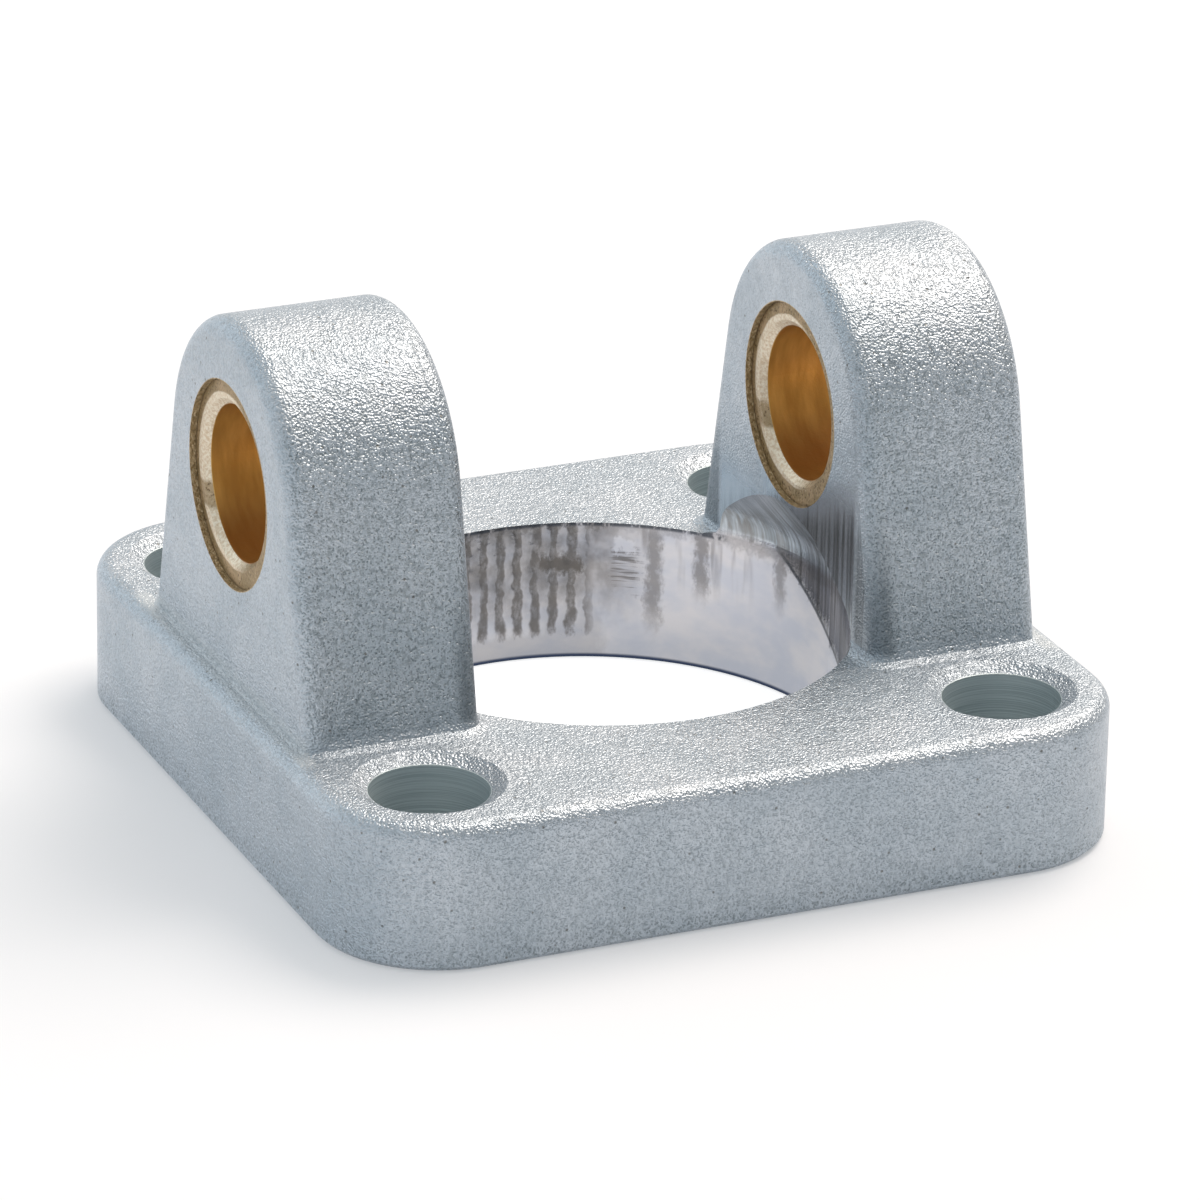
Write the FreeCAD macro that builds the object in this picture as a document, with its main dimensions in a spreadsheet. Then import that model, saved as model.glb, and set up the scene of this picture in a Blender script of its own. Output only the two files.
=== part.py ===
import FreeCAD
import Part
import Sketcher

import math
import os

# Clevis mount of a cylinder: a cast flange with two ears and a plain bush in
# each ear. Millimetres, +Z up. The origin is the centre of the mounting face,
# the pin axis runs along X at the axis height.

# Flange
flange_width = 63.5
flange_depth = 63.5
flange_thickness = 11.5
corner_radius = 9.5
top_edge_round = 1.3
bottom_edge_break = 0.4

# Bolt holes, one in each corner, with a cast funnel at the mouth. The centres
# lie this far inside the flange's sides, which spaces them 46.5 mm apart.
bolt_edge_distance = 8.5
bolt_hole_diameter = 9.0
bolt_lip_width = 1.2
bolt_lip_depth = 0.7

# Spigot bore, which runs up into the ears and leaves them in a cone
spigot_diameter = 40.0
spigot_height = 12.2
runout_radius = 4.0
runout_height = 18.7
runout_margin = 0.3

# Ears, set back from the flange's sides. The foot leaves room for the bolts.
ear_gap = 32.0
ear_inset = 1.75
axis_height = 27.0
ear_top_radius = 12.7
bolt_to_foot = 1.35
ear_outer_round = 1.5
ear_inner_round = 1.4

# Fillet where the ears stand on the flange, of two flats. Its path runs a little
# inside the foot, and furthest in at the outer faces, so that the fillet ends there
# short of the flange's rounded edge.
foot_fillet = 1.0
flank_inset = 0.25
inner_inset = 0.1
outer_inset = 0.65
foot_root = 0.4

# Bushes, pressed into the ears and set back a little at both ends
bush_bore_diameter = 12.0
bush_wall = 2.0
bush_setback = 0.5
bush_chamfer = 0.5

doc = FreeCAD.newDocument("clevis_mount")
sheet = doc.addObject("Spreadsheet::Sheet", "dims")


def put(alias, value):
    """One driving dimension: its name in column A, its value in column B."""
    cell_row = 1
    while sheet.getContents("A%d" % cell_row):
        cell_row += 1
    sheet.set("A%d" % cell_row, alias)
    sheet.set("B%d" % cell_row, str(value))
    sheet.setAlias("B%d" % cell_row, alias)


put("flange_width", flange_width)
put("flange_depth", flange_depth)
put("flange_thickness", flange_thickness)
put("corner_radius", corner_radius)
put("top_edge_round", top_edge_round)
put("bottom_edge_break", bottom_edge_break)
put("bolt_edge_distance", bolt_edge_distance)
put("bolt_hole_diameter", bolt_hole_diameter)
put("bolt_lip_width", bolt_lip_width)
put("bolt_lip_depth", bolt_lip_depth)
put("spigot_diameter", spigot_diameter)
put("spigot_height", spigot_height)
put("runout_radius", runout_radius)
put("runout_height", runout_height)
put("runout_margin", runout_margin)
put("ear_gap", ear_gap)
put("ear_inset", ear_inset)
put("axis_height", axis_height)
put("ear_top_radius", ear_top_radius)
put("bolt_to_foot", bolt_to_foot)
put("ear_outer_round", ear_outer_round)
put("ear_inner_round", ear_inner_round)
put("foot_fillet", foot_fillet)
put("flank_inset", flank_inset)
put("inner_inset", inner_inset)
put("outer_inset", outer_inset)
put("foot_root", foot_root)
put("bush_bore_diameter", bush_bore_diameter)
put("bush_wall", bush_wall)
put("bush_setback", bush_setback)
put("bush_chamfer", bush_chamfer)
doc.recompute()

# Sizes that follow from the ones above, as formulas over the sheet's cells
half_span = "(dims.flange_width / 2 - dims.ear_inset)"
half_gap = "(dims.ear_gap / 2)"
half_foot = ("(dims.flange_depth / 2 - dims.bolt_edge_distance - dims.bolt_hole_diameter / 2"
             " - dims.bolt_lip_width - dims.bolt_to_foot)")
hole_from_x = "(dims.flange_width / 2 - dims.bolt_edge_distance)"
hole_from_y = "(dims.flange_depth / 2 - dims.bolt_edge_distance)"
bush_outer = "(dims.bush_bore_diameter / 2 + dims.bush_wall)"

# The same for the points that the sketches and the edge searches start from
half_x = flange_width / 2.0
half_y = flange_depth / 2.0
top = flange_thickness
outer_x = half_x - ear_inset
inner_x = ear_gap / 2.0
hole_r = bolt_hole_diameter / 2.0
hole_x = half_x - bolt_edge_distance
hole_y = half_y - bolt_edge_distance
foot = hole_y - hole_r - bolt_lip_width - bolt_to_foot
bush_r = bush_bore_diameter / 2.0
seat_r = bush_r + bush_wall


def vec(x, y, z=0.0):
    return FreeCAD.Vector(x, y, z)


def new_body(label):
    body = doc.addObject("PartDesign::Body", label)
    body.Label = label
    return body


def origin_feature(body, role):
    for feature in body.Origin.OriginFeatures:
        if feature.Role == role:
            return feature
    raise RuntimeError("no origin feature " + role)


def new_sketch(body, name, plane):
    sketch = body.newObject("Sketcher::SketchObject", name)
    sketch.AttachmentSupport = [(origin_feature(body, plane), "")]
    sketch.MapMode = "FlatFace"
    return sketch


def rule(sketch, *spec):
    """A constraint without a driving size."""
    return sketch.addConstraint(Sketcher.Constraint(*spec))


def drive(sketch, name, expression, *spec):
    """A constraint whose size follows the sheet."""
    index = sketch.addConstraint(Sketcher.Constraint(*spec))
    sketch.renameConstraint(index, name)
    sketch.setExpression("Constraints." + name, expression)
    return index


def edges_where(feature, test):
    """Names of the feature's edges for which the test holds."""
    names = []
    for number, edge in enumerate(feature.Shape.Edges, start=1):
        if test(edge):
            names.append("Edge%d" % number)
    if not names:
        raise RuntimeError("no edge found on " + feature.Label)
    return names


def dress(body, kind, name, base, edge_names, size_name, expression):
    """A fillet or chamfer on the named edges of the base feature."""
    feature = body.newObject("PartDesign::" + kind, name)
    feature.Base = (base, edge_names)
    feature.setExpression(size_name, expression)
    doc.recompute()
    return feature


def near(value, target, tolerance=0.001):
    return abs(value - target) < tolerance


def middle(edge):
    return edge.valueAt((edge.FirstParameter + edge.LastParameter) / 2.0)


def ends(edge):
    return [edge.valueAt(edge.FirstParameter), edge.valueAt(edge.LastParameter)]


def volume_after(feature, before, removes):
    """Recompute, and make sure that the feature added or removed material."""
    doc.recompute()
    after = feature.Shape.Volume
    changed = before - after if removes else after - before
    if changed < 1.0:
        raise RuntimeError(feature.Label + " changed nothing")
    print("%-16s %10.1f mm3" % (feature.Label, after))
    return after


# The casting: flange, two ears, then what is bored and drilled into it

casting = new_body("clevis_body")

outline = new_sketch(casting, "flange_outline", "XY_Plane")
corners = [vec(-half_x, -half_y), vec(half_x, -half_y), vec(half_x, half_y), vec(-half_x, half_y)]
for number in range(4):
    outline.addGeometry(Part.LineSegment(corners[number], corners[(number + 1) % 4]), False)
for number in range(4):
    rule(outline, "Coincident", number, 2, (number + 1) % 4, 1)
rule(outline, "Horizontal", 0)
rule(outline, "Vertical", 1)
rule(outline, "Horizontal", 2)
rule(outline, "Vertical", 3)
rule(outline, "Symmetric", 0, 1, 1, 2, -1, 1)
drive(outline, "width", "dims.flange_width", "DistanceX", 0, 1, 0, 2, 2.0 * half_x)
drive(outline, "depth", "dims.flange_depth", "DistanceY", 1, 1, 1, 2, 2.0 * half_y)

flange = casting.newObject("PartDesign::Pad", "flange")
flange.Profile = outline
flange.setExpression("Length", "dims.flange_thickness")
volume = volume_after(flange, 0.0, False)


def is_upright(edge):
    first, last = ends(edge)
    return near(first.x, last.x) and near(first.y, last.y)


flange_corners = dress(casting, "Fillet", "flange_corners", flange,
                       edges_where(flange, is_upright), "Radius", "dims.corner_radius")


def on_top(edge):
    return all(near(point.z, top) for point in ends(edge) + [middle(edge)])


def on_bottom(edge):
    return all(near(point.z, 0.0) for point in ends(edge) + [middle(edge)])


flange_top = dress(casting, "Fillet", "flange_top_edge", flange_corners,
                   edges_where(flange_corners, on_top), "Radius", "dims.top_edge_round")
flange_bottom = dress(casting, "Chamfer", "flange_bottom_edge", flange_top,
                      edges_where(flange_top, on_bottom), "Size", "dims.bottom_edge_break")
volume = flange_bottom.Shape.Volume

# Ear profile, seen along the pin axis: a round top and two flanks tangent to
# it, which spread to the foot width at the flange's top and end inside it.

profile = new_sketch(casting, "ear_profile", "YZ_Plane")
profile.setExpression("AttachmentOffset.Base.z", half_gap)
radius = ear_top_radius
axis_z = axis_height
drop = axis_z - top
reach = math.hypot(foot, drop)
taper = math.acos(radius / reach) - math.atan2(drop, foot)
root_z = top / 2.0
root = (radius + (axis_z - root_z) * math.sin(taper)) / math.cos(taper)
touch = vec(radius * math.cos(taper), axis_z + radius * math.sin(taper))
round_top = Part.Circle(vec(0.0, axis_z), vec(0.0, 0.0, 1.0), radius)
profile.addGeometry(Part.ArcOfCircle(round_top, taper, math.pi - taper), False)
profile.addGeometry(Part.LineSegment(touch, vec(root, root_z)), False)
profile.addGeometry(Part.LineSegment(vec(root, root_z), vec(-root, root_z)), False)
profile.addGeometry(Part.LineSegment(vec(-root, root_z), vec(-touch.x, touch.y)), False)
profile.addGeometry(Part.Point(vec(foot, top)), True)
rule(profile, "Tangent", 0, 1, 1, 1)
rule(profile, "Tangent", 3, 2, 0, 2)
rule(profile, "Coincident", 1, 2, 2, 1)
rule(profile, "Coincident", 2, 2, 3, 1)
rule(profile, "PointOnObject", 0, 3, -2)
rule(profile, "Symmetric", 2, 1, 2, 2, -2)
rule(profile, "PointOnObject", 4, 1, 1)
drive(profile, "top_radius", "dims.ear_top_radius", "Radius", 0, radius)
drive(profile, "axis", "dims.axis_height", "DistanceY", -1, 1, 0, 3, axis_z)
drive(profile, "foot", half_foot, "DistanceX", -1, 1, 4, 1, foot)
drive(profile, "flange_top", "dims.flange_thickness", "DistanceY", -1, 1, 4, 1, top)
drive(profile, "root", "dims.flange_thickness / 2", "DistanceY", -1, 1, 2, 1, root_z)

ear = casting.newObject("PartDesign::Pad", "ear")
ear.Profile = profile
ear.setExpression("Length", half_span + " - " + half_gap)
volume = volume_after(ear, volume, False)

other_ear = casting.newObject("PartDesign::Mirrored", "other_ear")
other_ear.Originals = [ear]
other_ear.MirrorPlane = (origin_feature(casting, "YZ_Plane"), [""])
casting.Tip = other_ear
volume = volume_after(other_ear, volume, False)


def ear_rim(at_x):
    """True for the edges of an ear's round top and flanks at this distance."""
    def test(edge):
        points = ends(edge) + [middle(edge)]
        return all(near(abs(point.x), at_x) for point in points) and points[2].z > top + 0.5
    return test


ear_outer = dress(casting, "Fillet", "ear_outer_edges", other_ear,
                  edges_where(other_ear, ear_rim(outer_x)), "Radius", "dims.ear_outer_round")
ear_inner = dress(casting, "Fillet", "ear_inner_edges", ear_outer,
                  edges_where(ear_outer, ear_rim(inner_x)), "Radius", "dims.ear_inner_round")
volume = ear_inner.Shape.Volume

# Fillet along the ear's foot: swept once round the foot, then mirrored to the
# other ear. The path is the foot's outline with its rounded corners.

path = new_sketch(casting, "foot_path", "XY_Plane")
path.setExpression("AttachmentOffset.Base.z", "dims.flange_thickness")
path_y = foot - flank_inset
west = inner_x + inner_inset
east = outer_x - outer_inset
near_r = ear_inner_round
far_r = ear_outer_round
up = vec(0.0, 0.0, 1.0)
path.addGeometry(Part.LineSegment(vec(west + near_r, -path_y), vec(east - far_r, -path_y)), False)
path.addGeometry(Part.ArcOfCircle(Part.Circle(vec(east - far_r, far_r - path_y), up, far_r),
                                  -math.pi / 2.0, 0.0), False)
path.addGeometry(Part.LineSegment(vec(east, far_r - path_y), vec(east, path_y - far_r)), False)
path.addGeometry(Part.ArcOfCircle(Part.Circle(vec(east - far_r, path_y - far_r), up, far_r),
                                  0.0, math.pi / 2.0), False)
path.addGeometry(Part.LineSegment(vec(east - far_r, path_y), vec(west + near_r, path_y)), False)
path.addGeometry(Part.ArcOfCircle(Part.Circle(vec(west + near_r, path_y - near_r), up, near_r),
                                  math.pi / 2.0, math.pi), False)
path.addGeometry(Part.LineSegment(vec(west, path_y - near_r), vec(west, near_r - path_y)), False)
path.addGeometry(Part.ArcOfCircle(Part.Circle(vec(west + near_r, near_r - path_y), up, near_r),
                                  math.pi, 1.5 * math.pi), False)
for number in range(8):
    rule(path, "Tangent", number, 2, (number + 1) % 8, 1)
rule(path, "Horizontal", 0)
rule(path, "Horizontal", 4)
rule(path, "Vertical", 6)
rule(path, "Equal", 1, 3)
rule(path, "Equal", 5, 7)
rule(path, "Symmetric", 2, 1, 2, 2, -1)
drive(path, "far_radius", "dims.ear_outer_round", "Radius", 1, far_r)
drive(path, "near_radius", "dims.ear_inner_round", "Radius", 5, near_r)
drive(path, "far_side", half_span + " - dims.outer_inset", "DistanceX", -1, 1, 2, 1, east)
drive(path, "near_side", half_gap + " + dims.inner_inset", "DistanceX", -1, 1, 6, 1, west)
drive(path, "half_width", half_foot + " - dims.flank_inset", "DistanceY", -1, 1, 4, 1, path_y)

section = new_sketch(casting, "foot_section", "YZ_Plane")
section.setExpression("AttachmentOffset.Base.z", "(" + half_span + " + " + half_gap + ") / 2")
wall_y = -path_y
toe_y = wall_y - foot_fillet
knee = foot_fillet * (1.0 - math.sqrt(0.5))
fillet_top = top + foot_fillet
floor_z = top - foot_root
back_y = wall_y + foot_root
points = [vec(toe_y, top), vec(wall_y - knee, top + knee), vec(wall_y, fillet_top),
          vec(back_y, fillet_top), vec(back_y, floor_z), vec(toe_y, floor_z)]
for number in range(6):
    section.addGeometry(Part.LineSegment(points[number], points[(number + 1) % 6]), False)
for number in range(6):
    rule(section, "Coincident", number, 2, (number + 1) % 6, 1)
rule(section, "Equal", 0, 1)
rule(section, "Horizontal", 2)
rule(section, "Vertical", 3)
rule(section, "Horizontal", 4)
rule(section, "Vertical", 5)
drive(section, "width", "dims.foot_fillet", "DistanceX", 0, 1, 1, 2, foot_fillet)
drive(section, "height", "dims.foot_fillet", "DistanceY", 0, 1, 1, 2, foot_fillet)
drive(section, "knee", "dims.foot_fillet * (1 - sqrt(0.5))", "DistanceX", 0, 2, 1, 2, knee)
drive(section, "root_back", "dims.foot_root", "DistanceX", 2, 1, 2, 2, foot_root)
drive(section, "root_down", "dims.foot_root", "DistanceY", 5, 1, 5, 2, foot_root)
drive(section, "wall", half_foot + " - dims.flank_inset", "DistanceX", 1, 2, -1, 1, path_y)
drive(section, "level", "dims.flange_thickness", "DistanceY", -1, 1, 0, 1, top)

foot_fill = casting.newObject("PartDesign::AdditivePipe", "foot_fill")
foot_fill.Profile = section
foot_fill.Spine = (path, [])
volume = volume_after(foot_fill, volume, False)

other_fill = casting.newObject("PartDesign::Mirrored", "other_fill")
other_fill.Originals = [foot_fill]
other_fill.MirrorPlane = (origin_feature(casting, "YZ_Plane"), [""])
casting.Tip = other_fill
volume = volume_after(other_fill, volume, False)

# Spigot bore. The wall is a cylinder as far as the spigot height, turns in
# over a small radius and leaves the ears' inner faces in a cone.

bore = new_sketch(casting, "bore_profile", "XZ_Plane")
bore_r = spigot_diameter / 2.0
wall_z = spigot_height
turn_r = runout_radius
exit_z = runout_height
margin = runout_margin
turn = vec(bore_r - turn_r, wall_z)
span = vec(inner_x, exit_z) - turn
lean = math.atan2(span.y, span.x) - math.acos(turn_r / span.Length)
start_cone = vec(turn.x + turn_r * math.cos(lean), turn.y + turn_r * math.sin(lean))
tip_r = inner_x - margin
tip_z = exit_z + margin / math.tan(lean)
turn_circle = Part.Circle(turn, vec(0.0, 0.0, 1.0), turn_r)
bore.addGeometry(Part.LineSegment(vec(0.0, 0.0), vec(bore_r, 0.0)), False)
bore.addGeometry(Part.LineSegment(vec(bore_r, 0.0), vec(bore_r, wall_z)), False)
bore.addGeometry(Part.ArcOfCircle(turn_circle, 0.0, lean), False)
bore.addGeometry(Part.LineSegment(start_cone, vec(tip_r, tip_z)), False)
bore.addGeometry(Part.LineSegment(vec(tip_r, tip_z), vec(0.0, tip_z)), False)
bore.addGeometry(Part.LineSegment(vec(0.0, tip_z), vec(0.0, 0.0)), False)
bore.addGeometry(Part.Point(vec(inner_x, exit_z)), True)
rule(bore, "Coincident", 0, 1, -1, 1)
rule(bore, "Coincident", 0, 2, 1, 1)
rule(bore, "Tangent", 1, 2, 2, 1)
rule(bore, "Tangent", 2, 2, 3, 1)
rule(bore, "Coincident", 3, 2, 4, 1)
rule(bore, "Coincident", 4, 2, 5, 1)
rule(bore, "Coincident", 5, 2, 0, 1)
rule(bore, "Horizontal", 0)
rule(bore, "Vertical", 1)
rule(bore, "Horizontal", 4)
rule(bore, "Vertical", 5)
rule(bore, "PointOnObject", 6, 1, 3)
drive(bore, "bore_radius", "dims.spigot_diameter / 2", "DistanceX", 0, 1, 0, 2, bore_r)
drive(bore, "wall_height", "dims.spigot_height", "DistanceY", 1, 1, 1, 2, wall_z)
drive(bore, "turn_radius", "dims.runout_radius", "Radius", 2, turn_r)
drive(bore, "exit_x", half_gap, "DistanceX", -1, 1, 6, 1, inner_x)
drive(bore, "exit_z", "dims.runout_height", "DistanceY", -1, 1, 6, 1, exit_z)
drive(bore, "tip_x", half_gap + " - dims.runout_margin",
      "DistanceX", -1, 1, 3, 2, tip_r)

spigot = casting.newObject("PartDesign::Groove", "spigot_bore")
spigot.Profile = bore
spigot.ReferenceAxis = (bore, ["V_Axis"])
spigot.Angle = 360.0
volume = volume_after(spigot, volume, True)

# Seats of the bushes, bored in one pass through both ears

seat_sketch = new_sketch(casting, "seat_circle", "YZ_Plane")
seat_sketch.addGeometry(Part.Circle(vec(0.0, axis_z), vec(0.0, 0.0, 1.0), seat_r), False)
rule(seat_sketch, "PointOnObject", 0, 3, -2)
drive(seat_sketch, "axis", "dims.axis_height", "DistanceY", -1, 1, 0, 3, axis_z)
drive(seat_sketch, "seat_radius", bush_outer, "Radius", 0, seat_r)

seats = casting.newObject("PartDesign::Pocket", "bush_seats")
seats.Profile = seat_sketch
seats.Type = "ThroughAll"
seats.SideType = "Symmetric"
volume = volume_after(seats, volume, True)

# Bolt holes at the corners of a square, and the funnel at each mouth

holes_sketch = new_sketch(casting, "bolt_circles", "XY_Plane")
for side_x, side_y in ((1, 1), (-1, 1), (-1, -1), (1, -1)):
    centre = vec(side_x * hole_x, side_y * hole_y)
    holes_sketch.addGeometry(Part.Circle(centre, vec(0.0, 0.0, 1.0), hole_r), False)
for number in (1, 2, 3):
    rule(holes_sketch, "Equal", 0, number)
rule(holes_sketch, "Symmetric", 0, 3, 1, 3, -2)
rule(holes_sketch, "Symmetric", 0, 3, 3, 3, -1)
rule(holes_sketch, "Symmetric", 0, 3, 2, 3, -1, 1)
drive(holes_sketch, "hole_radius", "dims.bolt_hole_diameter / 2", "Radius", 0, hole_r)
drive(holes_sketch, "from_x", hole_from_x, "DistanceX", -1, 1, 0, 3, hole_x)
drive(holes_sketch, "from_y", hole_from_y, "DistanceY", -1, 1, 0, 3, hole_y)

holes = casting.newObject("PartDesign::Pocket", "bolt_holes")
holes.Profile = holes_sketch
holes.Type = "ThroughAll"
holes.SideType = "Symmetric"
volume = volume_after(holes, volume, True)


def is_hole_mouth(edge):
    curve = edge.Curve
    if not isinstance(curve, Part.Circle):
        return False
    return near(curve.Radius, hole_r) and near(curve.Center.z, top)


lips = casting.newObject("PartDesign::Chamfer", "bolt_hole_lips")
lips.Base = (holes, edges_where(holes, is_hole_mouth))
lips.ChamferType = "Two distances"
lips.setExpression("Size", "dims.bolt_lip_width")
lips.setExpression("Size2", "dims.bolt_lip_depth")
doc.recompute()
casting.Tip = lips

# Bushes: a plain ring each, the bore chamfered at both ends, centred in its ear


def make_bush(label, place_x):
    body = new_body(label)
    ring = new_sketch(body, label + "_ring", "YZ_Plane")
    ring.addGeometry(Part.Circle(vec(0.0, 0.0), vec(0.0, 0.0, 1.0), seat_r), False)
    ring.addGeometry(Part.Circle(vec(0.0, 0.0), vec(0.0, 0.0, 1.0), bush_r), False)
    rule(ring, "Coincident", 0, 3, -1, 1)
    rule(ring, "Coincident", 1, 3, -1, 1)
    drive(ring, "outer_radius", bush_outer, "Radius", 0, seat_r)
    drive(ring, "bore_radius", "dims.bush_bore_diameter / 2", "Radius", 1, bush_r)
    wall = body.newObject("PartDesign::Pad", label + "_wall")
    wall.Profile = ring
    wall.SideType = "Symmetric"
    wall.setExpression("Length", half_span + " - " + half_gap + " - 2 * dims.bush_setback")
    volume_after(wall, 0.0, False)

    def is_bore_mouth(edge):
        return isinstance(edge.Curve, Part.Circle) and near(edge.Curve.Radius, bush_r)

    chamfers = dress(body, "Chamfer", label + "_chamfers", wall,
                     edges_where(wall, is_bore_mouth), "Size", "dims.bush_chamfer")
    body.Tip = chamfers
    body.setExpression("Placement.Base.x", place_x)
    body.setExpression("Placement.Base.z", "dims.axis_height")
    doc.recompute()
    return body


bush_left = make_bush("bush_left", "-(" + half_span + " + " + half_gap + ") / 2")
bush_right = make_bush("bush_right", "(" + half_span + " + " + half_gap + ") / 2")

doc.recompute()

for item in doc.Objects:
    if "Invalid" in item.State or "Error" in item.State:
        raise RuntimeError("failed: " + item.Label)

os.makedirs("parts", exist_ok=True)
pieces = [casting, bush_left, bush_right]
for piece in pieces:
    if piece.Shape.isNull() or not piece.Shape.isValid() or len(piece.Shape.Solids) != 1:
        raise RuntimeError("bad shape: " + piece.Label)
for piece in pieces:
    box = piece.Shape.BoundBox
    print("%-12s %10.1f mm3  x %.2f..%.2f  y %.2f..%.2f  z %.2f..%.2f" % (
        piece.Label, piece.Shape.Volume,
        box.XMin, box.XMax, box.YMin, box.YMax, box.ZMin, box.ZMax))
    piece.Shape.exportStep(os.path.join("parts", piece.Label + ".step"))
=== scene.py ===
import bpy
import math
from mathutils import Matrix, Vector


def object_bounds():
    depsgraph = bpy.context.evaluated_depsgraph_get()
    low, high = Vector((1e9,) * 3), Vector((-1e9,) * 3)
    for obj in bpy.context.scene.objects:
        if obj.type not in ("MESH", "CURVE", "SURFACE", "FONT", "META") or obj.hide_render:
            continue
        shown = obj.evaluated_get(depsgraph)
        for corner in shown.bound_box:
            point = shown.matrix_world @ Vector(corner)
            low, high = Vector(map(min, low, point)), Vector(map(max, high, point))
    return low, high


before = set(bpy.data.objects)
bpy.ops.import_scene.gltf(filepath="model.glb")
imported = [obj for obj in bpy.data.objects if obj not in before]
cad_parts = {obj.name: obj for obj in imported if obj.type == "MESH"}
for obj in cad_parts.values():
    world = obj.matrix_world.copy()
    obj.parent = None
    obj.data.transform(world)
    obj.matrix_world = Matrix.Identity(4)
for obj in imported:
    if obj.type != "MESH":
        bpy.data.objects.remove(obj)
cad_low, cad_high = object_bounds()
scene = bpy.context.scene
scene.view_settings.view_transform = "Standard"

# Sizes of the mount, in millimetres.
BORE_R = 20.0
WALL_TOP = 12.2
RUNOUT_TOP = 18.7
FACE_X = 16.0
AXIS_Z = 27.0
BUSH_R = 8.0
PIN_R = 6.0
HOLE_AT = 23.25
HOLE_R = 4.5
FLANGE_TOP = 11.5

# The ribs in the bore: the angle of one crest in degrees, and the wave's radians for a degree.
RIB_AT = 94.3
RIB_TURN = 1.514

# The painted reflection by the right ear, a dark curved line: its height at angle 0, its rise for a
# degree, its last angle.
ARCH_Z = 6.9
ARCH_RISE = 0.245
ARCH_END = 22.0

MM = 0.001
DEGREE = math.degrees(1.0)

# The camera looks at TARGET from this azimuth and elevation, a little tilted.
AZ, EL, ROLL = math.radians(-24.239), math.radians(22.094), math.radians(1.145)
DISTANCE = 0.590392
TARGET = Vector((0.009389, 0.015239, 0.0122))


def make_camera():
    back = Vector((math.sin(AZ) * math.cos(EL), -math.cos(AZ) * math.cos(EL), math.sin(EL)))
    right = (-back).cross(Vector((0.0, 0.0, 1.0))).normalized()
    up = right.cross(-back)
    side = right * math.cos(ROLL) + up * math.sin(ROLL)
    top = up * math.cos(ROLL) - right * math.sin(ROLL)
    data = bpy.data.cameras.new("camera")
    data.sensor_width = 36.0
    data.lens = 225.0
    data.shift_x = -0.02199
    data.shift_y = -0.0620
    data.clip_start = 0.05
    data.clip_end = 20.0
    cam = bpy.data.objects.new("camera", data)
    place = Matrix((side, top, back)).transposed().to_4x4()
    place.translation = TARGET + back * DISTANCE
    cam.matrix_world = place
    scene.collection.objects.link(cam)
    scene.camera = cam


class Tree:
    """Short names for building a node tree."""

    def __init__(self, owner):
        owner.use_nodes = True
        self.tree = owner.node_tree
        self.tree.nodes.clear()

    def node(self, kind, inputs=None, **props):
        made = self.tree.nodes.new(kind)
        for key, value in props.items():
            setattr(made, key, value)
        for key, value in (inputs or {}).items():
            self.put(made.inputs[key], value)
        return made

    def put(self, socket, value):
        if isinstance(value, bpy.types.NodeSocket):
            self.tree.links.new(value, socket)
        elif isinstance(value, bpy.types.Node):
            self.tree.links.new(value.outputs[0], socket)
        else:
            socket.default_value = value

    def calc(self, operation, *values, clamp=False):
        made = self.tree.nodes.new("ShaderNodeMath")
        made.operation = operation
        made.use_clamp = clamp
        for socket, value in zip(made.inputs, values):
            self.put(socket, value)
        return made.outputs[0]

    def vector(self, operation, *values):
        made = self.tree.nodes.new("ShaderNodeVectorMath")
        made.operation = operation
        for socket, value in zip(made.inputs, values):
            self.put(socket, value)
        return made.outputs["Value" if operation in ("LENGTH", "DOT_PRODUCT") else "Vector"]

    def split(self, vector):
        return self.node("ShaderNodeSeparateXYZ", {0: vector}).outputs

    def join(self, *parts):
        return self.node("ShaderNodeCombineXYZ", dict(enumerate(parts))).outputs[0]

    def ramp(self, value, low, high, to_low=0.0, to_high=1.0):
        """A soft step from to_low, where the value is low, to to_high, where it is high."""
        made = self.tree.nodes.new("ShaderNodeMapRange")
        made.interpolation_type = "SMOOTHSTEP"
        for key, number in (("Value", value), ("From Min", low), ("From Max", high),
                            ("To Min", to_low), ("To Max", to_high)):
            self.put(made.inputs[key], number)
        return made.outputs[0]

    def mix(self, factor, first, second):
        made = self.tree.nodes.new("ShaderNodeMix")
        made.data_type = "RGBA"
        self.put(made.inputs[0], factor)
        self.put(made.inputs[6], first)
        self.put(made.inputs[7], second)
        return made.outputs[2]

    def blend(self, factor, first, second):
        made = self.tree.nodes.new("ShaderNodeMix")
        self.put(made.inputs[0], factor)
        self.put(made.inputs[2], first)
        self.put(made.inputs[3], second)
        return made.outputs[0]

    def noise(self, place, size, detail=2.0, rough=0.5):
        made = self.node("ShaderNodeTexNoise", {"Vector": place, "Scale": 1.0 / size,
                                                "Detail": detail, "Roughness": rough})
        return made.outputs[0]

    def cells(self, place, size):
        made = self.node("ShaderNodeTexVoronoi", {"Vector": place, "Scale": 1.0 / size})
        return made.outputs["Distance"]

    def bump(self, height):
        """Relief from a height in millimetres."""
        return self.node("ShaderNodeBump", {"Height": height, "Distance": MM, "Strength": 1.0})

    def glow(self, kind, tint, strength):
        return self.node(kind, {"Color": tint + (1.0,), "Strength": strength}).outputs[0]


def colour(red, green, blue):
    """A linear colour from display values of 0 to 255."""
    def straight(value):
        value /= 255.0
        return value / 12.92 if value <= 0.04045 else ((value + 0.055) / 1.055) ** 2.4
    return (straight(red), straight(green), straight(blue), 1.0)


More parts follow.
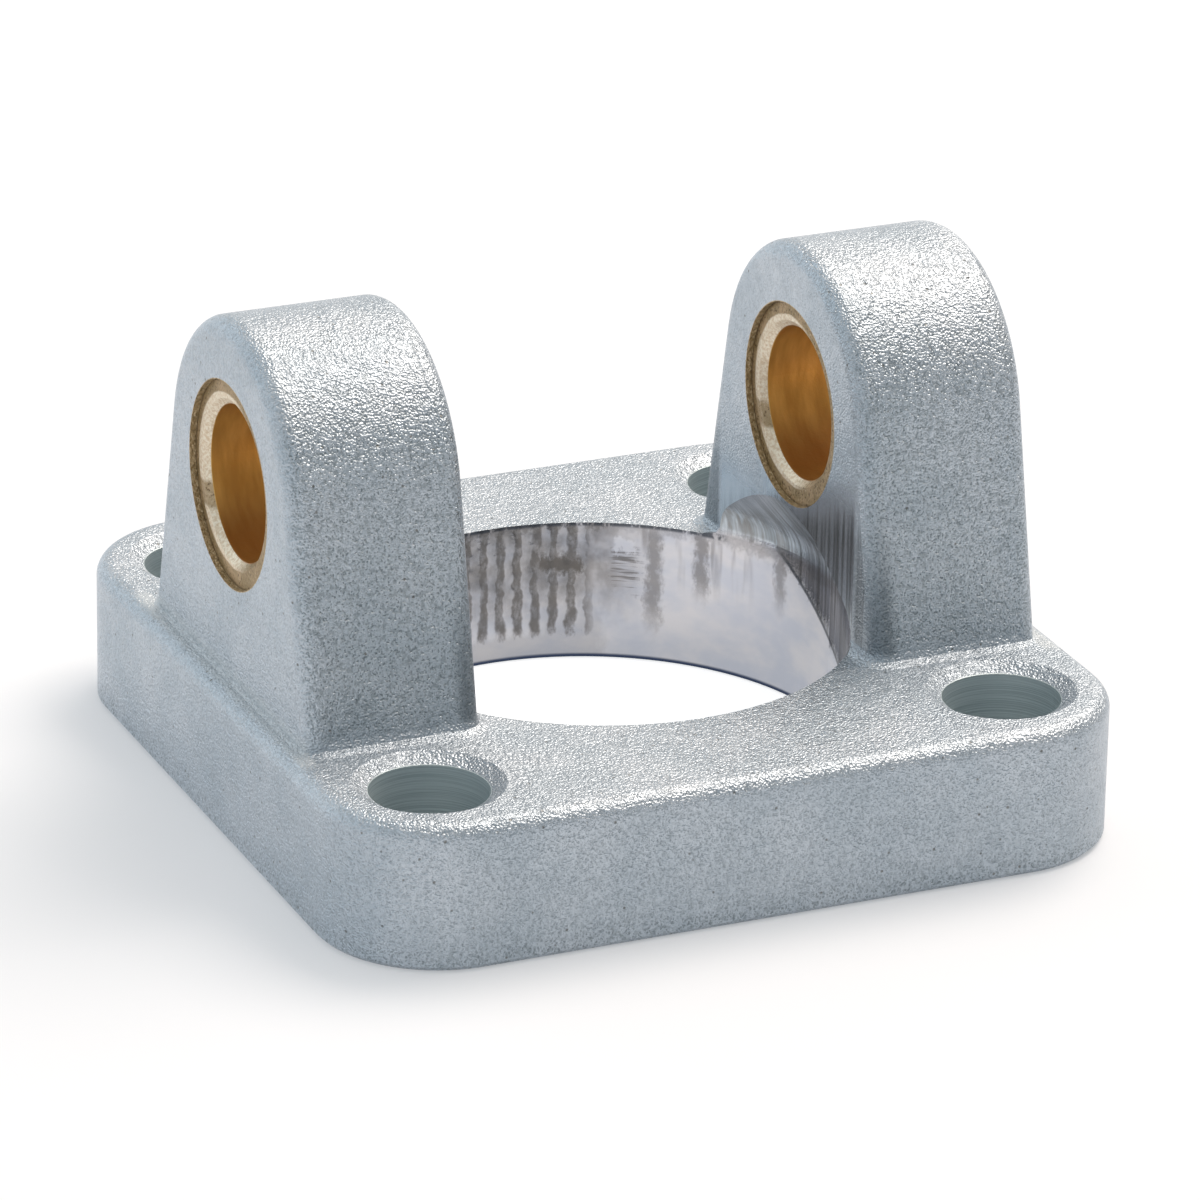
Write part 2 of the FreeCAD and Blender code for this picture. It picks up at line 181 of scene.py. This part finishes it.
def casting_material():
    """Zinc plated rough casting, with its turned bore, drilled holes and milled foot."""
    mat = bpy.data.materials.new("zinc_casting")
    t = Tree(mat)
    geo = t.node("ShaderNodeNewGeometry")
    coord = t.node("ShaderNodeTexCoord")
    place = t.vector("MULTIPLY", coord.outputs["Object"], (1.0 / MM, 1.0 / MM, 1.0 / MM))
    x, y, z = t.split(place)
    nx, ny, nz = t.split(geo.outputs["Normal"])
    ax = t.calc("ABSOLUTE", x)
    ay = t.calc("ABSOLUTE", y)
    flat = t.vector("MULTIPLY", place, (1.0, 1.0, 0.0))
    radius = t.vector("LENGTH", flat)
    inward = t.calc("DIVIDE", t.vector("DOT_PRODUCT", flat, geo.outputs["Normal"]),
                    t.calc("MAXIMUM", radius, 0.001))
    angle = t.calc("MULTIPLY", t.calc("ARCTAN2", y, x), DEGREE)

    def both(*parts):
        whole = parts[0]
        for part in parts[1:]:
            whole = t.calc("MULTIPLY", whole, part)
        return whole

    def no(part):
        return t.calc("SUBTRACT", 1.0, part, clamp=True)

    def sum_of(*parts):
        whole = parts[0]
        for part in parts[1:]:
            whole = t.calc("ADD", whole, part)
        return whole

    # Regions, each 0 to 1.
    ear_face = both(t.ramp(t.calc("ABSOLUTE", nx), 0.93, 0.97),
                    t.calc("LESS_THAN", ax, FACE_X + 0.05))
    bore = both(t.calc("LESS_THAN", inward, -0.25), t.calc("LESS_THAN", radius, BORE_R + 0.1),
                t.calc("LESS_THAN", z, RUNOUT_TOP + 0.1), no(ear_face))
    from_hole = t.vector("LENGTH", t.join(t.calc("SUBTRACT", ax, HOLE_AT),
                                          t.calc("SUBTRACT", ay, HOLE_AT)))
    hole = both(t.calc("LESS_THAN", from_hole, HOLE_R + 0.06),
                t.calc("LESS_THAN", z, FLANGE_TOP - 0.6))
    under = both(t.calc("LESS_THAN", nz, -0.9), t.calc("LESS_THAN", z, 0.05))
    near_top = t.ramp(z, WALL_TOP + 9.0, WALL_TOP + 14.0, 1.0, 0.0)
    turned_face = both(ear_face, t.ramp(ay, 11.6, 12.6, 1.0, 0.0), near_top,
                       t.calc("MAXIMUM", t.ramp(z, 20.0, 16.5), t.ramp(y, 6.5, 2.5)))

    # The edge of the bush's seat, stained by the bronze.
    from_pin = t.vector("LENGTH", t.join(y, t.calc("SUBTRACT", z, AXIS_Z)))
    seat = both(t.calc("LESS_THAN", from_pin, BUSH_R + 0.06),
                t.calc("GREATER_THAN", ax, FACE_X - 1.0))

    # Rough cast skin: an even fine grain, soft lumps and a few pits.
    grain = t.noise(place, 0.16, 0.5, 0.5)
    coarse = t.noise(place, 0.36, 1.0, 0.5)
    lumps = t.noise(place, 1.3, 2.0, 0.5)
    broad = t.noise(place, 7.0, 2.0, 0.5)
    pits = t.ramp(t.cells(place, 1.5), 0.045, 0.1)
    height = sum_of(t.calc("MULTIPLY", grain, 0.13), t.calc("MULTIPLY", coarse, 0.12),
                    t.calc("MULTIPLY", lumps, 0.1), t.calc("MULTIPLY", pits, 0.03))
    height = t.calc("MULTIPLY", height, t.blend(ear_face, 1.0, 0.45))
    cast_bump = t.bump(height)

    # Where the skin's colour differs: darker towards the flange's bottom edge, a painted highlight
    # on the ears' outer feet, and painted shade in the ears' corners beside the bore and on the
    # flanks.
    low = t.ramp(z, 0.0, 3.0, 1.0, 0.0)
    ledge_highlight = both(t.ramp(ax, 29.5, 29.9), t.ramp(ax, 31.2, 30.7), t.ramp(z, 11.0, 11.35),
                 t.ramp(z, 12.9, 12.0), t.ramp(ay, 18.5, 17.0))
    corner = both(t.ramp(ay, 12.0, 12.7), t.ramp(ax, 18.4, 17.2), t.ramp(z, 25.0, 14.0),
                  t.ramp(ax, 14.0, 15.5), t.ramp(z, 11.7, 12.8))
    cast_colour = t.mix(t.ramp(broad, 0.3, 0.7), colour(183, 193, 202), colour(195, 203, 211))
    hollow = t.calc("MAXIMUM", t.ramp(coarse, 0.5, 0.34, 0.0, 0.55), t.ramp(grain, 0.47, 0.27))
    # The grain's hollows darken more towards the bottom, and more on the flanks as painted shade.
    flank_shade = both(t.ramp(t.calc("ABSOLUTE", ny), 0.3, 0.8), t.ramp(z, 11.6, 13.0))
    hollow_and_flank_shade = t.calc("MAXIMUM", t.blend(low, 0.26, 0.6), t.calc("MULTIPLY", flank_shade, 0.62))
    cast_colour = t.mix(both(hollow, hollow_and_flank_shade), cast_colour, colour(84, 96, 98))
    cast_colour = t.mix(both(no(pits), 0.7), cast_colour, colour(98, 94, 84))
    seat_colour = t.mix(t.ramp(coarse, 0.35, 0.6), colour(168, 146, 108), colour(200, 178, 140))
    cast_colour = t.mix(seat, cast_colour, seat_colour)
    # Painted highlight on the ledge at the ears' outer feet.
    cast_colour = t.mix(both(ledge_highlight, 0.35), cast_colour, colour(226, 231, 232))
    # Painted shade in the ears' inner corners beside the bore.
    cast_colour = t.mix(both(corner, 0.6), cast_colour, colour(84, 94, 100))
    cast_rough = t.calc("ADD", 0.3, t.calc("MULTIPLY", t.ramp(lumps, 0.3, 0.7), 0.12))
    cast_metal = t.blend(t.calc("MAXIMUM", ledge_highlight, seat), 0.78, 0.4)

    # Turned bore: positions round the wall in degrees, with ragged edges.
    def wall_noise(size_round, size_up, detail=2.0, rough=0.55):
        scaled = t.vector("MULTIPLY", place, (1.0 / size_round, 1.0 / size_round, 1.0 / size_up))
        return t.noise(scaled, 1.0, detail, rough)

    fray = wall_noise(0.6, 0.9, 4.0, 0.65)
    shift = wall_noise(1.6, 1.1, 2.0, 0.5)
    frayed_angle = sum_of(angle, t.calc("MULTIPLY", fray, 5.0), -2.5)
    frayed_z = sum_of(z, t.calc("MULTIPLY", fray, 2.4), -1.2)

    def spot(angle_low, angle_high, z_low, z_high, soft_round=1.5, soft_up=0.8):
        """A frayed patch on the wall, between two angles in degrees and two heights."""
        return both(t.ramp(frayed_angle, angle_low - soft_round, angle_low + soft_round),
                    t.ramp(frayed_angle, angle_high - soft_round, angle_high + soft_round,
                           1.0, 0.0),
                    t.ramp(frayed_z, z_low - soft_up, z_low + soft_up),
                    t.ramp(frayed_z, z_high - soft_up, z_high + soft_up, 1.0, 0.0))

    # Chatter ribs in one sector.
    phase = sum_of(t.calc("MULTIPLY", t.calc("SUBTRACT", angle, RIB_AT), RIB_TURN),
                   t.calc("MULTIPLY", shift, 3.4), -1.7)
    rib = t.calc("MULTIPLY_ADD", t.calc("COSINE", phase), 0.5, 0.5)
    sector = both(t.ramp(angle, 63.0, 70.0), t.ramp(angle, 118.0, 126.0, 1.0, 0.0),
                  t.ramp(frayed_z, 1.2, 2.8))
    valley = both(t.ramp(rib, 0.95, 0.25), sector, t.ramp(fray, 0.2, 0.6, 0.6, 1.0))
    crest_end = both(t.ramp(rib, 0.6, 0.95), t.ramp(angle, 76.0, 80.0), t.ramp(z, 1.6, 2.2),
                     t.ramp(z, 2.6, 3.6, 1.0, 0.0))

    # Brown stains: under the rim, in drips and in a few dark patches.
    cloud = wall_noise(2.2, 2.6, 3.0, 0.6)
    drips = t.ramp(wall_noise(1.1, 9.0, 2.0, 0.5), 0.5, 0.7)
    scratches = t.ramp(wall_noise(3.0, 0.16, 2.0, 0.6), 0.42, 0.6)
    far_end = t.ramp(angle, 175.0, 145.0)
    rim = both(t.ramp(frayed_z, FLANGE_TOP - 1.2, FLANGE_TOP - 0.3, 0.0, 0.75),
               t.ramp(z, 12.1, 11.7),
               t.blend(both(t.ramp(angle, 58.0, 66.0), far_end), 0.45, 1.0),
               t.ramp(cloud, 0.3, 0.5, 0.3, 1.0))
    veil = both(t.ramp(angle, 50.0, 68.0), far_end, t.ramp(frayed_z, 1.5, 7.5),
                t.ramp(cloud, 0.3, 0.65, 0.3, 0.72))
    grime = both(t.ramp(frayed_angle, 62.0, 66.0), far_end, 0.2)
    marks = (
        t.calc("MULTIPLY", spot(68.5, 79.5, 6.9, 9.0), 0.95),
        both(spot(56.0, 63.5, 5.6, 9.6), t.blend(scratches, 0.25, 0.8)),
        t.calc("MULTIPLY", spot(51.0, 54.5, 3.4, 12.0, 1.2, 2.0), 0.62),
        t.calc("MULTIPLY", spot(39.5, 43.0, 6.4, 12.0, 1.0, 1.4), 0.62),
        t.calc("MULTIPLY", spot(18.0, 21.0, 7.4, 14.0, 0.9, 1.6), 0.5),
        both(drips, t.ramp(frayed_z, 5.0, 11.0), t.ramp(angle, 20.0, 34.0), far_end, 0.55),
        both(spot(24.0, 38.0, 11.6, 14.6, 3.0, 1.0),
             t.ramp(wall_noise(0.7, 3.0), 0.35, 0.6, 0.2, 0.75)),
    )
    stain = t.calc("MAXIMUM", t.calc("MULTIPLY", valley, 0.88), t.calc("MAXIMUM", rim, veil))
    stain = t.calc("MAXIMUM", stain, grime)
    for mark in marks:
        stain = t.calc("MAXIMUM", stain, mark)
    polished = both(spot(57.0, 62.0, 9.0, 10.2, 0.5, 0.2), 0.9)
    stain = both(stain, no(polished), no(both(crest_end, 0.9)))
    foot = t.ramp(z, 0.4, 0.15)

    # Painted reflection: the dark curved line by the right ear, and above it a dark smear of vertical
    # streaks, partly real smears and partly painted reflection.
    arch = sum_of(ARCH_Z, t.calc("MULTIPLY", t.calc("MINIMUM", angle, ARCH_END), ARCH_RISE))
    over_arch = both(t.ramp(t.calc("SUBTRACT", z, arch), -0.15, 0.25),
                     t.calc("LESS_THAN", ay, 14.0),
                     t.calc("GREATER_THAN", x, 0.0))
    arch_reflection = both(t.ramp(t.calc("ABSOLUTE", t.calc("SUBTRACT", z, arch)), 0.3, 0.1, 0.0, 0.8),
                     t.ramp(angle, 23.0, 16.0), t.calc("GREATER_THAN", x, 0.0))
    hairs = t.noise(t.join(t.calc("MULTIPLY", y, 2.4), t.calc("MULTIPLY", z, 0.06),
                           t.calc("MULTIPLY", x, 0.1)), 1.0, 3.0, 0.6)
    fade_at = sum_of(18.2, t.calc("MULTIPLY", y, -0.3), t.calc("MULTIPLY", hairs, 5.0), -2.5)
    dark_reflection_smear = both(over_arch, t.ramp(t.calc("SUBTRACT", z, fade_at), -2.0, 1.6, 1.0, 0.0),
                t.ramp(hairs, 0.34, 0.62, 0.4, 1.0), t.ramp(y, 13.0, 2.0, 0.5, 1.0))
    above = t.ramp(z, WALL_TOP - 0.6, WALL_TOP + 0.4)
    wall_colour = t.mix(t.ramp(wall_noise(4.0, 2.4, 3.0), 0.3, 0.7),
                        colour(166, 169, 178), colour(181, 180, 183))
    wall_colour = t.mix(t.calc("MULTIPLY", stain, 0.9), wall_colour, colour(70, 65, 58))
    # Painted shade: a dark blue-grey line along the bore's bottom edge.
    wall_colour = t.mix(foot, wall_colour, colour(52, 62, 84))
    # A ragged dark line along the rim.
    rim_dark_line = both(t.ramp(z, 11.1, 11.35), t.ramp(z, 11.8, 11.6), t.ramp(fray, 0.35, 0.5),
                 t.ramp(angle, 34.0, 37.0), far_end, 0.85)
    wall_colour = t.mix(rim_dark_line, wall_colour, colour(48, 54, 62))
    # Painted reflection on the wall: the dark smear of vertical streaks above the arch, and the dark
    # curved line.
    wall_colour = t.mix(t.calc("MULTIPLY", dark_reflection_smear, 0.85), wall_colour, colour(80, 80, 78))
    wall_colour = t.mix(arch_reflection, wall_colour, colour(44, 50, 56))
    bore_bump = t.bump(sum_of(both(rib, sector, 0.06),
                              t.calc("MULTIPLY", wall_noise(12.0, 0.22, 3.0, 0.6), 0.003),
                              t.calc("MULTIPLY", fray, 0.012)))

    # Cutter marks that run up from the bore over the ears' inner faces.
    face_noise = t.noise(t.vector("MULTIPLY", place, (1.0, 1.4, 0.16)), 0.6, 3.0, 0.6)
    face_bump = t.bump(t.calc("MULTIPLY", face_noise, 0.012))
    face_colour = t.mix(face_noise, colour(176, 188, 198), colour(194, 202, 210))
    # The same painted dark reflection, with its vertical streaks, on the ears' inner faces.
    face_colour = t.mix(t.calc("MULTIPLY", dark_reflection_smear, 0.85), face_colour, colour(74, 78, 78))
    cast_colour = t.mix(both(dark_reflection_smear, ear_face, 0.6), cast_colour, colour(84, 90, 92))
    runout_colour = t.mix(t.calc("MULTIPLY", stain, 0.8), face_colour, colour(98, 90, 80))
    bore_colour = t.mix(above, wall_colour, runout_colour)
    bore_rough = t.blend(above, t.blend(stain, 0.07, 0.3), 0.18)

    # Drilled holes and the milled mounting face.
    hole_rings = t.noise(t.vector("MULTIPLY", place, (0.12, 0.12, 13.0)), 1.0, 1.0, 0.5)
    hole_bump = t.bump(t.calc("MULTIPLY", hole_rings, 0.015))
    hole_colour = t.mix(t.ramp(hole_rings, 0.3, 0.7), colour(168, 182, 186), colour(198, 210, 213))
    mill = t.noise(t.vector("MULTIPLY", place, (0.05, 3.0, 0.0)), 1.0, 3.0, 0.6)
    mill_bump = t.bump(t.calc("MULTIPLY", mill, 0.02))
    mill_colour = t.mix(mill, colour(164, 172, 178), colour(192, 198, 202))

    def surface(base, rough, bump, metal):
        return t.node("ShaderNodeBsdfPrincipled", {"Base Color": base, "Roughness": rough,
                                                   "Metallic": metal, "Normal": bump})

    whole = surface(cast_colour, cast_rough, cast_bump, cast_metal).outputs[0]
    for factor, layer in ((turned_face, surface(face_colour, 0.18, face_bump, 0.95)),
                          (under, surface(mill_colour, 0.32, mill_bump, 0.9)),
                          (hole, surface(hole_colour, 0.4, hole_bump, 0.3)),
                          (bore, surface(bore_colour, bore_rough, bore_bump, 1.0))):
        whole = t.node("ShaderNodeMixShader", {0: factor, 1: whole, 2: layer.outputs[0]}).outputs[0]
    t.node("ShaderNodeOutputMaterial", {"Surface": whole})
    return mat


def bush_material():
    """Sintered bronze bush: granular end faces and a smooth running bore."""
    mat = bpy.data.materials.new("bush_bronze")
    t = Tree(mat)
    coord = t.node("ShaderNodeTexCoord")
    place = t.vector("MULTIPLY", coord.outputs["Object"], (1.0 / MM, 1.0 / MM, 1.0 / MM))
    x, y, z = t.split(place)
    up = t.calc("SUBTRACT", z, AXIS_Z)
    radius = t.vector("LENGTH", t.join(y, up))
    angle = t.calc("ARCTAN2", up, y)
    in_bore = t.calc("LESS_THAN", radius, PIN_R + 0.03)
    # A painted highlight: the bright crescent round the bore's edge, widest towards +Y.
    off = t.vector("LENGTH", t.join(t.calc("SUBTRACT", y, 0.5), up))
    grain = t.noise(place, 0.24, 2.0, 0.6)
    lumps = t.noise(place, 1.8, 2.0, 0.5)
    frayed = t.calc("MULTIPLY_ADD", grain, 0.3, t.calc("MULTIPLY_ADD", lumps, 0.3, off))
    edge_highlight = t.calc("MULTIPLY", t.ramp(frayed, 7.02, 7.18, 1.0, 0.0), t.ramp(y, -3.0, 0.5))
    # A band across the crescent where the painted highlight is left out.
    from_gap = t.calc("ABSOLUTE", t.calc("ADD", up, 2.9))
    highlight_gap = t.calc("MULTIPLY", t.ramp(from_gap, 0.7, 1.1, 0.85, 0.0), t.ramp(y, 3.0, 4.0))
    edge_highlight = t.calc("MULTIPLY", edge_highlight, t.calc("SUBTRACT", 1.0, highlight_gap))
    face = t.mix(t.ramp(lumps, 0.35, 0.65), colour(154, 132, 94), colour(180, 154, 118))
    face = t.mix(t.ramp(grain, 0.46, 0.32), face, colour(104, 84, 54))
    face = t.mix(t.ramp(grain, 0.6, 0.75), face, colour(204, 182, 150))
    # The painted highlight's cream colour.
    cream = t.mix(t.ramp(grain, 0.3, 0.7), colour(222, 200, 170), colour(248, 238, 218))
    face = t.mix(edge_highlight, face, cream)
    # Painted shade: a dark frayed ring in the gap at the bush's outer edge.
    edge = t.calc("MULTIPLY_ADD", lumps, 0.5, radius)
    face = t.mix(t.ramp(edge, BUSH_R + 0.02, BUSH_R + 0.2, 0.0, 0.5), face, colour(62, 48, 32))
    streak = t.noise(t.join(t.calc("MULTIPLY", x, 0.9), t.calc("MULTIPLY", angle, 1.2)), 1.0, 3.0)
    bore = t.mix(t.ramp(streak, 0.3, 0.7), colour(204, 160, 86), colour(234, 192, 112))
    # Painted shade: the bore darker towards its top and bottom.
    bore = t.mix(t.ramp(t.calc("ABSOLUTE", up), 2.6, 5.8, 0.0, 0.75), bore, colour(146, 88, 36))
    base = t.mix(in_bore, face, bore)
    rough = t.blend(in_bore, 0.45, 0.36)
    metal = t.blend(in_bore, 0.6, 0.4)
    bump = t.bump(t.calc("MULTIPLY", grain, t.blend(in_bore, 0.06, 0.012)))
    shader = t.node("ShaderNodeBsdfPrincipled", {"Base Color": base, "Roughness": rough,
                                                 "Metallic": metal, "Normal": bump})
    t.node("ShaderNodeOutputMaterial", {"Surface": shader.outputs[0]})
    return mat


def make_floor():
    """A pale floor just under the mount. Seen by the camera or in the metal, it glows to white,
    brightest through the bore, and keeps the mount's shadow."""
    size = 3.0
    mesh = bpy.data.meshes.new("floor")
    mesh.from_pydata([(-size, -size, 0.0), (size, -size, 0.0), (size, size, 0.0),
                      (-size, size, 0.0)], [], [(0, 1, 2, 3)])
    floor = bpy.data.objects.new("floor", mesh)
    floor.location.z = cad_low.z - 0.00005
    scene.collection.objects.link(floor)
    mat = bpy.data.materials.new("floor")
    t = Tree(mat)
    diffuse = t.node("ShaderNodeBsdfDiffuse", {"Color": (0.57, 0.59, 0.62, 1.0)})
    place = t.node("ShaderNodeTexCoord").outputs["Object"]
    from_axis = t.vector("LENGTH", place)
    level = t.ramp(from_axis, (BORE_R - 0.4) * MM, (BORE_R + 0.6) * MM, 0.85, 0.32)
    glow = t.glow("ShaderNodeEmission", (1.0, 1.0, 1.0), level)
    both = t.node("ShaderNodeAddShader", {0: diffuse.outputs[0], 1: glow})
    path = t.node("ShaderNodeLightPath")
    seen = t.calc("MAXIMUM", path.outputs["Is Camera Ray"], path.outputs["Is Glossy Ray"])
    out = t.node("ShaderNodeMixShader", {0: seen, 1: diffuse.outputs[0], 2: both.outputs[0]})
    t.node("ShaderNodeOutputMaterial", {"Surface": out.outputs[0]})
    mesh.materials.append(mat)


def make_world():
    """Soft studio: a bright box overhead, pale walls behind and to the left, dark in front."""
    world = bpy.data.worlds.new("studio")
    scene.world = world
    t = Tree(world)
    way = t.node("ShaderNodeTexCoord").outputs["Generated"]
    x, y, z = t.split(way)

    def towards(*aim):
        return t.vector("DOT_PRODUCT", way, Vector(aim).normalized())

    box = t.ramp(towards(0.35, 0.1, 0.92), 0.6, 0.9, 0.0, 0.9)
    wall = t.calc("MULTIPLY", t.ramp(y, 0.25, 0.75), t.ramp(x, -0.3, 0.35, 0.0, 0.24))
    warm = t.calc("ADD", box, wall)
    horizon = t.calc("MULTIPLY", t.ramp(y, 0.3, 0.8), t.ramp(z, 0.3, 0.15, 0.0, 0.5))
    side = t.ramp(x, -0.3, -0.9, 0.0, 0.5)
    edge = t.ramp(towards(-0.42, 0.8, 0.42), 0.84, 0.96, 0.0, 0.85)
    front = t.calc("MULTIPLY", t.ramp(y, -0.2, -0.8), t.ramp(z, 0.0, 0.3, 0.0, 0.14))
    cool = t.calc("ADD", t.calc("ADD", horizon, t.calc("MAXIMUM", side, edge)),
                  t.calc("ADD", front, 0.26))
    path = t.node("ShaderNodeLightPath")
    light = t.node("ShaderNodeAddShader", {
        0: t.glow("ShaderNodeBackground", (1.0, 0.89, 0.79), warm),
        1: t.glow("ShaderNodeBackground", (0.9, 0.98, 1.03), cool)})
    white = t.glow("ShaderNodeBackground", (1.0, 1.0, 1.0), 1.0)
    shade = t.node("ShaderNodeMixShader", {0: path.outputs["Is Camera Ray"], 1: light.outputs[0],
                                           2: white})
    t.node("ShaderNodeOutputWorld", {"Surface": shade.outputs[0]})


def make_key_light():
    """A large warm softbox, high up on the right and a little behind."""
    place, aim = Vector((0.5, 0.22, 0.84)), Vector((0.0, 0.0, 0.02))
    data = bpy.data.lights.new("key", "AREA")
    data.shape = "RECTANGLE"
    data.size = 0.65
    data.size_y = 0.65
    data.energy = 7.2
    data.color = (1.0, 0.875, 0.77)
    lamp = bpy.data.objects.new("key", data)
    lamp.location = place
    lamp.rotation_euler = (aim - place).to_track_quat("-Z", "Y").to_euler()
    scene.collection.objects.link(lamp)


make_camera()
make_floor()
make_world()
make_key_light()

casting = casting_material()
bronze = bush_material()
for name, mat in (("clevis_body", casting), ("bush_left", bronze), ("bush_right", bronze)):
    for material_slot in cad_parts[name].material_slots:
        material_slot.material = mat
